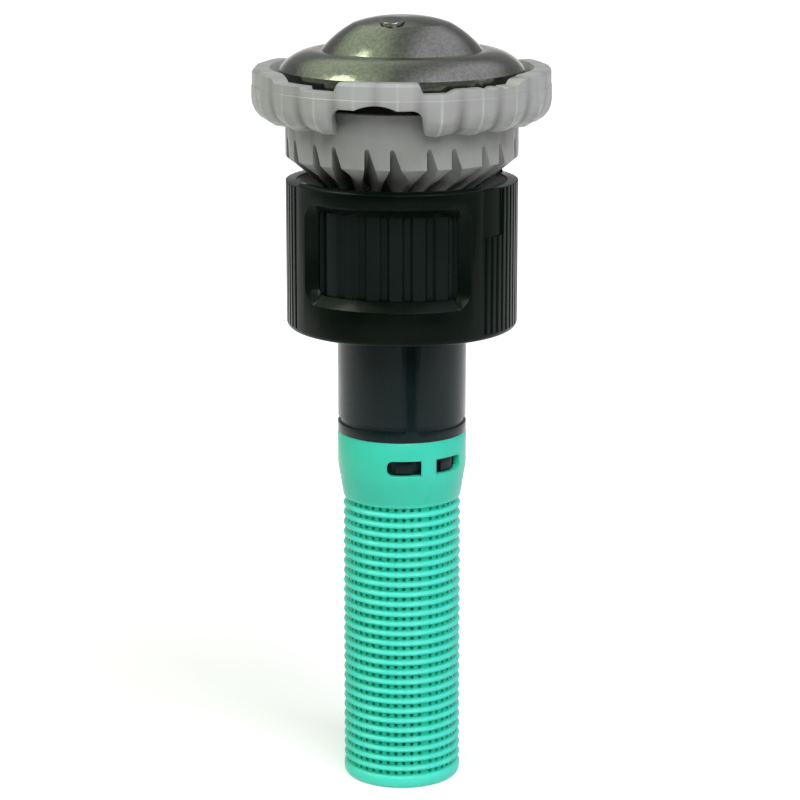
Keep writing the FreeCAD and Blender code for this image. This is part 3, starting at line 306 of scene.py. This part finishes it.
tube_plastic = moulded_plastic(
    "tube_plastic", (0.0034, 0.0105, 0.0105), (0.0055, 0.015, 0.0155), (0.2, 0.3),
    grain_scale=3500.0, grain_depth=0.2, bump=0.01 * mm, scratches=0.4, gloss=0.17,
)
coat_node("inlet_tube", tube_plastic)
softened("inlet_tube", "base", 0.07 * mm)

# ---------------------------------------------------------------- filter basket
# One turquoise moulding that snaps over the tube's tail: a smooth band with two pairs of
# snap slots, then a sleeve of rounded ribs with a row of small square holes in every
# groove, plain posts down both sides and a closed foot.

filter_low, filter_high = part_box("filter_screen")
rib_radius = 5.91 * mm
girth = 2 * math.pi * rib_radius
hole_pitch = girth * 8.39 / 360
holes_per_half, groove_count = 21, 28
post_width = girth / 2 - holes_per_half * hole_pitch
post_middle = girth * 34.8 / 360
hole_width, hole_height = 0.35 * mm, 0.34 * mm
groove_pitch = 1.021 * mm
first_groove = filter_high[2] - 7.1 * mm
screen_wall = 0.81 * mm
weld = 0.001 * mm


def near(value, wanted, slack=weld):
    """True where two measures are the same but for rounding."""
    return abs(value - wanted) < slack


# One cell of the screen lies flat, outside towards -Y: its rows are pushed in to shape the
# groove between two half ribs, and the middle of its floor is the hole.
columns, rows = 3, 7
bpy.ops.mesh.primitive_grid_add(x_subdivisions=columns, y_subdivisions=rows, size=1.0,
                                rotation=(math.pi / 2, 0, 0))
filter_basket = bpy.context.active_object
filter_basket.name = "filter_basket"
filter_basket.scale = (hole_pitch, groove_pitch, 1.0)
bpy.ops.object.transform_apply(location=True, rotation=True, scale=True)
bpy.ops.object.mode_set(mode="EDIT")
choose("VERT", lambda vert: near(abs(vert.co.x), hole_pitch / (2 * columns)))
bpy.ops.transform.resize(value=(hole_width / (hole_pitch / columns), 1, 1),
                         center_override=(0, 0, 0))
rib_profile = ((hole_height / 2, 0.38 * mm), (0.225 * mm, 0.34 * mm), (0.33 * mm, 0.09 * mm))
for row, (height, depth) in enumerate(rib_profile):
    level = groove_pitch * (0.5 + row) / rows
    choose("VERT", lambda vert: near(abs(vert.co.z), level, groove_pitch / 50))
    bpy.ops.transform.translate(value=(0, depth, 0))
    bpy.ops.transform.resize(value=(1, 1, height / level), center_override=(0, 0, 0))
choose("FACE", lambda face: near(face.calc_center_median().x, 0.0)
       and near(face.calc_center_median().z, 0.0))
bpy.ops.mesh.delete(type="FACE")
bpy.ops.mesh.select_all(action="SELECT")
bpy.ops.mesh.extrude_region_move(TRANSFORM_OT_translate={"value": (0, screen_wall, 0)})
bpy.ops.transform.resize(value=(1, 0, 1), center_override=(0, screen_wall, 0))
bpy.ops.mesh.select_all(action="SELECT")
bpy.ops.mesh.normals_make_consistent(inside=False)
choose("FACE", lambda face: all(near(abs(vert.co.x), hole_pitch / 2) for vert in face.verts)
       or all(near(abs(vert.co.z), groove_pitch / 2) for vert in face.verts))
bpy.ops.mesh.delete(type="FACE")
bpy.ops.object.mode_set(mode="OBJECT")


def repeated(piece, count, step):
    """Repeats a piece along a step and welds each copy to the next."""
    add_modifier(piece, "ARRAY", count=count, use_relative_offset=False,
                 use_constant_offset=True, constant_offset_displace=step,
                 use_merge_vertices=True, merge_threshold=weld)


def choose_open(test):
    """Selects the open edges of the mesh being edited whose two ends pass the test."""
    choose("EDGE", lambda edge: edge.is_boundary and all(test(vert.co) for vert in edge.verts))


def draw_out(edge_test, start, corners):
    """Extrudes the chosen open edges from one (depth, height) corner to the next."""
    choose_open(edge_test)
    for depth, height in corners:
        move = (0, depth - start[0], height - start[1])
        bpy.ops.mesh.extrude_region_move(TRANSFORM_OT_translate={"value": move})
        start = (depth, height)


# The cell is repeated along a row and down the sleeve, the post is drawn out from the
# row's end, and the half is doubled.
repeated(filter_basket, holes_per_half, (hole_pitch, 0, 0))
repeated(filter_basket, groove_count, (0, 0, -groove_pitch))
bpy.ops.object.mode_set(mode="EDIT")
row_end = hole_pitch * (holes_per_half - 0.5)
choose_open(lambda co: near(co.x, row_end))
for post_half in range(2):
    bpy.ops.mesh.extrude_region_move(TRANSFORM_OT_translate={"value": (post_width / 2, 0, 0)})
bpy.ops.object.mode_set(mode="OBJECT")
repeated(filter_basket, 2, (girth / 2, 0, 0))

# The band above and the foot below are drawn out from the sleeve's upper and lower edges.
# Depths run inwards from the ribs' radius, and heights up and down from the first groove.
bpy.ops.object.mode_set(mode="EDIT")
sleeve_top, sleeve_end = groove_pitch / 2, -groove_pitch * (groove_count - 0.5)
top = filter_high[2] - first_groove
foot = filter_low[2] - first_groove
band_depth, bore_depth = -0.53 * mm, 0.26 * mm
neck_top, band_end, bore_end = 3.6 * mm, 3.3 * mm, 5.05 * mm
lead_in, lead_height = 0.1 * mm, 0.12 * mm
foot_wall, foot_hub = 1.0 * mm, rib_radius * 0.93
draw_out(lambda co: near(co.z, sleeve_top) and near(co.y, 0.0), (0, sleeve_top), [
    (band_depth * 0.93, top - neck_top), (band_depth, top - band_end),
    (band_depth, top - lead_height), (band_depth + lead_in, top), (bore_depth, top),
    (bore_depth, top - bore_end), (screen_wall, sleeve_top),
])
draw_out(lambda co: near(co.z, sleeve_end) and near(co.y, 0.0), (0, sleeve_end), [
    (0, foot + 0.6 * mm), (0.08 * mm, foot + 0.3 * mm), (0.3 * mm, foot + 0.07 * mm),
    (0.6 * mm, foot), (foot_hub, foot), (rib_radius, foot),
])
draw_out(lambda co: near(co.z, sleeve_end) and near(co.y, screen_wall), (screen_wall, sleeve_end), [
    (screen_wall, foot + foot_wall), (foot_hub, foot + foot_wall), (rib_radius, foot + foot_wall),
])
bpy.ops.mesh.select_all(action="SELECT")
bpy.ops.mesh.remove_doubles(threshold=weld)
first_hole = post_middle - post_width / 2 - row_end
bpy.ops.transform.translate(value=(first_hole, 0, first_groove))
bpy.ops.object.mode_set(mode="OBJECT")

# The flat strip is rolled up into the basket and its seam and foot are closed.
add_modifier(filter_basket, "SIMPLE_DEFORM", deform_method="BEND", deform_axis="Z",
             angle=2 * math.pi)
bpy.ops.object.mode_set(mode="EDIT")
bpy.ops.mesh.select_all(action="SELECT")
bpy.ops.transform.translate(value=(0, -rib_radius, 0))
bpy.ops.mesh.remove_doubles(threshold=2 * weld)
bpy.ops.mesh.normals_make_consistent(inside=False)
bpy.ops.object.mode_set(mode="OBJECT")

# Two pairs of snap slots run through the band, at places given in degrees round it.  Their
# ends beside the short web are square, and their far ends are round.
slot_length, slot_reach, slot_height = 3.4 * mm, 3.0 * mm, 1.55 * mm
slot_top, slot_radius, slot_round = filter_high[2] - 1.85 * mm, 6.1 * mm, 0.55 * mm
pair_turn, slot_turn = 34.5, 22.6
for half in (0, 180):
    for side in (-1, 1):
        middle = math.radians(pair_turn + half + side * slot_turn)
        bpy.ops.mesh.primitive_cube_add(size=1.0)
        cutter = bpy.context.active_object
        cutter.scale = (slot_length, slot_reach, slot_height)
        bpy.ops.object.transform_apply(location=False, rotation=False, scale=True)
        bpy.ops.object.mode_set(mode="EDIT")
        choose("EDGE", lambda edge: near(edge.verts[0].co.z, edge.verts[1].co.z)
               and all(vert.co.x * side > 0.0 for vert in edge.verts))
        bpy.ops.mesh.bevel(offset=slot_round, segments=5, affect="EDGES")
        bpy.ops.object.mode_set(mode="OBJECT")
        cutter.location = (slot_radius * math.sin(middle), -slot_radius * math.cos(middle),
                           slot_top - slot_height / 2)
        cutter.rotation_euler = (0, 0, middle)
        pick(filter_basket)
        add_modifier(filter_basket, "BOOLEAN", operation="DIFFERENCE", object=cutter)
        bpy.data.objects.remove(cutter)
pick(filter_basket)
bpy.ops.object.shade_smooth_by_angle(angle=math.radians(50))


def axis_distance(tree, place):
    """Distance of a place from the upright axis."""
    flat = tree.nodes.new("ShaderNodeVectorMath")
    flat.operation = "MULTIPLY"
    feed(tree, place, flat.inputs[0])
    feed(tree, (1.0, 1.0, 0.0), flat.inputs[1])
    length = tree.nodes.new("ShaderNodeVectorMath")
    length.operation = "LENGTH"
    feed(tree, flat.outputs[0], length.inputs[0])
    return length.outputs["Value"]


def coordinates(tree, place):
    """The three parts of a place."""
    node = tree.nodes.new("ShaderNodeSeparateXYZ")
    feed(tree, place, node.inputs[0])
    return node.outputs


def paint_screen_light(mat, sleeve_height, rib_light_colour, groove_shade_colour, groove_edge, groove_floor):
    """Painted light: the ribbed sleeve is painted lighter, for the light that passes through its
    thin ribs, and the grooves are painted darker, as shade.
    """
    tree = mat.node_tree
    place = tree.nodes["Texture Coordinate"].outputs["Object"]
    base_colour = tree.nodes["Principled BSDF"].inputs["Base Color"]
    sleeve = map_range(tree, coordinates(tree, place)["Z"], sleeve_height + 0.2 * mm,
                       sleeve_height - 0.2 * mm, high=0.85)
    ribs = mix_colours(tree, sleeve, base_colour.links[0].from_socket, rib_light_colour)
    radius = axis_distance(tree, place)
    depth = map_range(tree, radius, groove_edge, groove_floor)
    outside = map_range(tree, radius, groove_floor - 0.35 * mm, groove_floor - 0.1 * mm)
    groove = math_node(tree, "MULTIPLY", depth, outside)
    feed(tree, mix_colours(tree, groove, ribs, groove_shade_colour), base_colour)


filter_plastic = moulded_plastic(
    "filter_plastic", (0.054, 0.66, 0.465), (0.07, 0.72, 0.535), (0.26, 0.36),
    grain_scale=4000.0, grain_depth=0.25, bump=0.01 * mm, scratches=0.15, gloss=0.2,
)
filter_shader = filter_plastic.node_tree.nodes["Principled BSDF"]
filter_shader.inputs["Subsurface Weight"].default_value = 0.6
filter_shader.inputs["Subsurface Radius"].default_value = (0.25, 1.0, 0.7)
filter_shader.inputs["Subsurface Scale"].default_value = 1.2 * mm
# Painted light on the screen: a lighter sleeve for light through the thin ribs, and painted shade
# in its grooves.
paint_screen_light(
    filter_plastic, first_groove + groove_pitch / 2,
    rib_light_colour=(0.105, 0.85, 0.67), groove_shade_colour=(0.012, 0.62, 0.41),
    groove_edge=rib_radius - 0.16 * mm, groove_floor=rib_radius - 0.37 * mm,
)
filter_basket.data.materials.append(filter_plastic)
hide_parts("filter_screen")
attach(filter_basket, "base")

# ---------------------------------------------------------------- housing
# The housing is a black shell with a bevelled setting window front and back and two
# zones of fine ribs for the fingers.  It snaps round the base.

coat_node("housing_shell", black_moulded)
softened("housing_shell", "base", 0.12 * mm)

# ---------------------------------------------------------------- radius ring and throttle
# The ribbed ring is turned through the windows and raises or lowers the throttle nut.
# The cover above it carries the dish and the spiral seat of the arc sleeve.

ring_plastic = moulded_plastic(
    "ring_plastic", (0.0026, 0.0066, 0.0046), (0.0046, 0.0098, 0.0078), (0.22, 0.32),
    grain_scale=5200.0, grain_depth=0.3, bump=0.01 * mm, scratches=0.4, gloss=0.1,
)
coat_node("radius_ring", ring_plastic)
dark_moulded = moulded_plastic(
    "dark_moulded", (0.07, 0.07, 0.078), (0.09, 0.09, 0.098), (0.42, 0.5),
)
for node in ("throttle_nut", "flow_hub", "valve_sleeve"):
    coat_node(node, dark_moulded)
coat_node("nozzle_cover", black_moulded)

# ---------------------------------------------------------------- shaft group
# Turned and formed stainless pieces: the shaft with its nut, clip and spring washer, the
# return spring, the brake's disk and the retainer that is pressed in over its seal.


def plain_metal(name, colour, second_colour, roughness, stretch, bump=0.01 * mm):
    """Bare steel with fine drawn or turned lines."""
    mat = bpy.data.materials.new(name)
    mat.use_nodes = True
    tree = mat.node_tree
    shader = tree.nodes["Principled BSDF"]
    shader.inputs["Metallic"].default_value = 1.0
    place = tree.nodes.new("ShaderNodeTexCoord").outputs["Object"]
    streaks = noise(tree, stretched(tree, place, stretch), 1.0, detail=4.0)
    tones = mix_colours(tree, streaks, colour, second_colour)
    feed(tree, tones, shader.inputs["Base Color"])
    feed(tree, map_range(tree, streaks, 0.0, 1.0, *roughness), shader.inputs["Roughness"])
    feed(tree, bumped(tree, streaks, bump), shader.inputs["Normal"])
    return mat


turned_steel = plain_metal(
    "turned_steel", (0.5, 0.5, 0.49), (0.62, 0.62, 0.6), (0.22, 0.36), (900.0, 900.0, 9000.0),
)
for node in ("shaft", "shaft_clip", "shaft_nut", "spring_washer", "return_spring",
             "brake_disk", "seal_retainer"):
    coat_node(node, turned_steel)

# The return spring is pressed up against the hub as the shaft is pulled out; here it only gets a
# copy with a mesh of its own.
spring = dressed_copy("return_spring")
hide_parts("return_spring")
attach(spring, "base")
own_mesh(spring)

# ---------------------------------------------------------------- bearings and brake
# The thrust washer and the rotor's bushing are white acetal, which runs dry on the shaft.
# The brake's pad and its friction plate are a brown filled plastic that drags on the disk.

white_acetal = moulded_plastic(
    "white_acetal", (0.7, 0.7, 0.67), (0.76, 0.76, 0.73), (0.3, 0.38), grain_depth=0.15,
)
coat_node("thrust_washer", white_acetal)
coat_node("rotor_bushing", white_acetal)
brake_plastic = moulded_plastic(
    "brake_plastic", (0.16, 0.13, 0.09), (0.22, 0.18, 0.13), (0.5, 0.6),
)
coat_node("brake_pad", brake_plastic)
coat_node("friction_plate", brake_plastic)

# ---------------------------------------------------------------- deflector and grip ring
# Both are light grey mouldings: the deflector's cone is cut into spiral vanes, and the
# grip ring is castellated and fluted, with a window under its front and back lugs.

grey_moulded = moulded_plastic(
    "grey_moulded", (0.29, 0.295, 0.28), (0.33, 0.335, 0.325), (0.36, 0.46),
    grain_scale=5000.0, grain_depth=0.3, bump=0.012 * mm, scratches=0.2, gloss=0.35,
)
coat_node("deflector", grey_moulded)
softened("deflector", "rotor", 0.06 * mm)
flute_count = 22
flute_turn = 2 * math.pi / flute_count
ring_low, ring_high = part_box("grip_ring")


def flute_light_and_shade_group():
    """Masks of the ring's flutes: a painted highlight along the ridges, and painted shade in the
    grooves that grows towards the foot.
    """
    group = bpy.data.node_groups.new("flute_light_and_shade", "ShaderNodeTree")
    group_socket(group, "Vector", "INPUT", "NodeSocketVector")
    group_socket(group, "Ridge", "OUTPUT")
    group_socket(group, "Groove", "OUTPUT")
    given = group.nodes.new("NodeGroupInput").outputs
    results = group.nodes.new("NodeGroupOutput").inputs
    place = coordinates(group, given["Vector"])
    turned = math_node(group, "ARCTAN2", place["X"], place["Y"])
    along = math_node(group, "FRACT", math_node(group, "DIVIDE", turned, flute_turn))
    from_ridge = math_node(group, "ABSOLUTE", math_node(group, "SUBTRACT", along, 0.5))
    # Painted highlight close to each ridge line, and painted shade across each groove.
    ridge = map_range(group, from_ridge, 0.045, 0.015)
    groove = map_range(group, from_ridge, 0.3, 0.5)
    towards_foot = map_range(group, place["Z"], ring_high[2] - 1.2 * mm,
                             ring_low[2] + 0.6 * mm, low=0.3)
    feed(group, math_node(group, "MULTIPLY", ridge, towards_foot), results["Ridge"])
    feed(group, math_node(group, "MULTIPLY", groove, towards_foot), results["Groove"])
    return group


def paint_flute_light(mat, ridge_highlight_colour, groove_shade_colour):
    """Lays the flutes' painted highlight and painted shade over a plastic's two tones."""
    tree = mat.node_tree
    base_colour = tree.nodes["Principled BSDF"].inputs["Base Color"]
    marks = tree.nodes.new("ShaderNodeGroup")
    marks.node_tree = flute_light_and_shade_group()
    feed(tree, tree.nodes["Texture Coordinate"].outputs["Object"], marks.inputs["Vector"])
    below = base_colour.links[0].from_socket
    for mask, colour in (("Groove", groove_shade_colour), ("Ridge", ridge_highlight_colour)):
        below = mix_colours(tree, marks.outputs[mask], below, colour)
    feed(tree, below, base_colour)


fluted_grey = moulded_plastic(
    "fluted_grey", (0.345, 0.35, 0.335), (0.385, 0.39, 0.38), (0.34, 0.44),
    grain_scale=5000.0, grain_depth=0.3, bump=0.012 * mm, scratches=0.2, gloss=0.35,
)
# The ring's flutes get a painted highlight on the ridges and painted shade in the grooves.
paint_flute_light(fluted_grey, ridge_highlight_colour=(0.52, 0.52, 0.515), groove_shade_colour=(0.13, 0.13, 0.12))
coat_node("grip_ring", fluted_grey)

# The flutes meet in upright creases, one every flute_turn, outside the rim's wall.  The
# shift keeps a crease that lies a little short of its place from reading as a whole turn.
rim_wall = 12.5 * mm
crease_shift, crease_reach = 0.01, 0.006


def flute_crease(edge):
    """True for the upright lines at the bottom of the flutes."""
    turns = [math.atan2(vert.co.x, -vert.co.y) for vert in edge.verts]
    outside = all(math.hypot(vert.co.x, vert.co.y) > rim_wall for vert in edge.verts)
    on_line = near((turns[0] + crease_shift) % flute_turn, crease_shift, crease_reach)
    return outside and on_line and near(turns[0], turns[1], crease_reach)


softened("grip_ring", "rotor", 0.18 * mm, crisp=flute_crease)

# The rim's wall leans back inside, so that its top is thinner than its foot.
rim_foot, rim_lean = ring_low[2] + 2.9 * mm, 1.055
bpy.ops.object.mode_set(mode="EDIT")
choose("VERT", lambda vert: math.hypot(vert.co.x, vert.co.y) < rim_wall
       and vert.co.z > rim_foot)
bpy.ops.transform.resize(value=(rim_lean, rim_lean, 1.0), center_override=(0, 0, 0))
bpy.ops.object.mode_set(mode="OBJECT")

# ---------------------------------------------------------------- cap
# Stainless cap pressed from sheet, with a low dome and a rounded shoulder.  Its surface
# is finely orange-peeled and takes green and violet reflections.

cap_steel = plain_metal(
    "cap_steel", (0.075, 0.079, 0.063), (0.22, 0.225, 0.195), (0.11, 0.2),
    (3000.0, 3000.0, 3000.0), bump=0.012 * mm,
)
coat_node("cap", cap_steel)

# ---------------------------------------------------------------- studio
# Plain pale floor under the filter's foot, a white surround, three soft boxes and the
# camera.  The room's front, behind the camera, is dark for reflections only.

white, green_tint, violet_tint = (1.0, 1.0, 1.0), (0.9, 1.0, 0.82), (0.88, 0.86, 1.0)
dark_front, quiet_wall, bright_panel, weak_fill = 0.12, 0.33, 1.6, 0.09


def light_path(tree, kind):
    """1 for one kind of ray and 0 for the others."""
    return tree.nodes.new("ShaderNodeLightPath").outputs[kind]


def seen_directly(tree):
    """1 for camera, mirror and see-through rays, and 0 for the light that falls on things."""
    mirrored = math_node(tree, "MAXIMUM", light_path(tree, "Is Camera Ray"),
                         light_path(tree, "Is Glossy Ray"))
    return math_node(tree, "MAXIMUM", mirrored, light_path(tree, "Is Transmission Ray"))


bpy.ops.mesh.primitive_plane_add(size=3.0, location=(0.0, 0.0, cad_box[0][2]))
floor = bpy.context.active_object
floor.name = "floor"
floor_paint = bpy.data.materials.new("floor_paint")
floor_paint.use_nodes = True
tree = floor_paint.node_tree
floor_shader = tree.nodes["Principled BSDF"]
floor_shader.inputs["Base Color"].default_value = (0.8, 0.8, 0.8, 1.0)
floor_shader.inputs["Roughness"].default_value = 0.9
floor_shader.inputs["Specular IOR Level"].default_value = 0.1
floor_shader.inputs["Emission Color"].default_value = (*white, 1.0)

# The lamps light the floor round the foot, where it keeps the shadow.  Further out its glow
# takes it up to the plain white of the surround, and reflections see its front half dark.
place = tree.nodes.new("ShaderNodeTexCoord").outputs["Object"]
outward = map_range(tree, axis_distance(tree, place), 0.02, 0.16, low=0.5, smooth=True)
glow = math_node(tree, "MULTIPLY", seen_directly(tree), outward)
front_half = map_range(tree, coordinates(tree, place)["Y"], -0.02, -0.12,
                       low=1.0, high=dark_front, smooth=True)
kept_glow = math_node(tree, "MAXIMUM", front_half, light_path(tree, "Is Camera Ray"))
feed(tree, math_node(tree, "MULTIPLY", glow, kept_glow), floor_shader.inputs["Emission Strength"])
floor.data.materials.append(floor_paint)

# The surround is plain white to a camera that looks down or level.  Reflections see the same
# white up to the horizon, a quieter wall above it, a greenish panel overhead on the left and
# a violet one on the right, and the dark front.  A camera that looks steeply up sees the two
# panels as well.  As light on the object the surround is only a weak fill.
world = bpy.data.worlds.new("studio")
bpy.context.scene.world = world
world.use_nodes = True
tree = world.node_tree
surround = tree.nodes["Background"]
way = coordinates(tree, tree.nodes.new("ShaderNodeTexCoord").outputs["Generated"])
wall = map_range(tree, way["Z"], 0.0, 0.2, low=1.0, high=quiet_wall, smooth=True)
overhead = map_range(tree, way["Z"], 0.3, 0.75, high=bright_panel, smooth=True)
aside = math_node(tree, "ABSOLUTE", way["X"])
panels = map_range(tree, aside, 0.0, 0.35, low=0.4, smooth=True)
room = math_node(tree, "MAXIMUM", wall, math_node(tree, "MULTIPLY", panels, overhead))
two_tints = mix_colours(tree, map_range(tree, way["X"], -0.25, 0.25), green_tint, violet_tint)
feed(tree, mix_colours(tree, overhead, white, two_tints), surround.inputs["Color"])
towards_front = map_range(tree, way["Y"], -0.35, -0.8, smooth=True)
low_down = map_range(tree, way["Z"], 0.5, 0.2)
front_side = math_node(tree, "MULTIPLY", towards_front, low_down)
kept_light = map_range(tree, front_side, 0.0, 1.0, low=1.0, high=dark_front)
reflected = math_node(tree, "MULTIPLY", room, kept_light)
seen = math_node(tree, "MAXIMUM", reflected, light_path(tree, "Is Camera Ray"))
strength = map_range(tree, seen_directly(tree), 0.0, 1.0, low=weak_fill, high=seen)
feed(tree, strength, surround.inputs["Strength"])


def soft_box(name, place, turn, size, power, colour):
    """A large rectangular lamp, turned by three angles in degrees."""
    bpy.ops.object.light_add(type="AREA", location=place,
                             rotation=[math.radians(angle) for angle in turn])
    lamp = bpy.context.active_object
    lamp.name = name
    lamp.data.shape = "RECTANGLE"
    lamp.data.size, lamp.data.size_y = size
    lamp.data.energy = power
    lamp.data.color = colour


soft_box("lamp_right", (0.2285, -0.1785, 0.375), (40, 0, 52), (0.12, 0.1), 0.85,
         (0.9, 0.88, 1.0))
soft_box("lamp_left", (-0.27, -0.08, 0.32), (15, -41, 0), (0.2, 0.14), 0.65,
         (0.9, 1.0, 0.77))
soft_box("lamp_front", (0.125, -0.35, 0.285), (54, 0, 19.7), (0.3, 0.2), 1.25, white)

camera_turn, camera_drop, camera_pan = math.radians(9.8), math.radians(13.34), math.radians(0.04)
camera_reach, camera_height = 0.2748, 0.0574
bpy.ops.object.camera_add(
    location=(camera_reach * math.sin(camera_turn), -camera_reach * math.cos(camera_turn),
              camera_height),
    rotation=(math.pi / 2 - camera_drop, 0.0, camera_turn + camera_pan),
)
camera = bpy.context.active_object
camera.data.sensor_width = 36.0
camera.data.lens = 126.9
camera.data.clip_start = 0.01
bpy.context.scene.camera = camera
bpy.context.scene.view_settings.view_transform = "Standard"
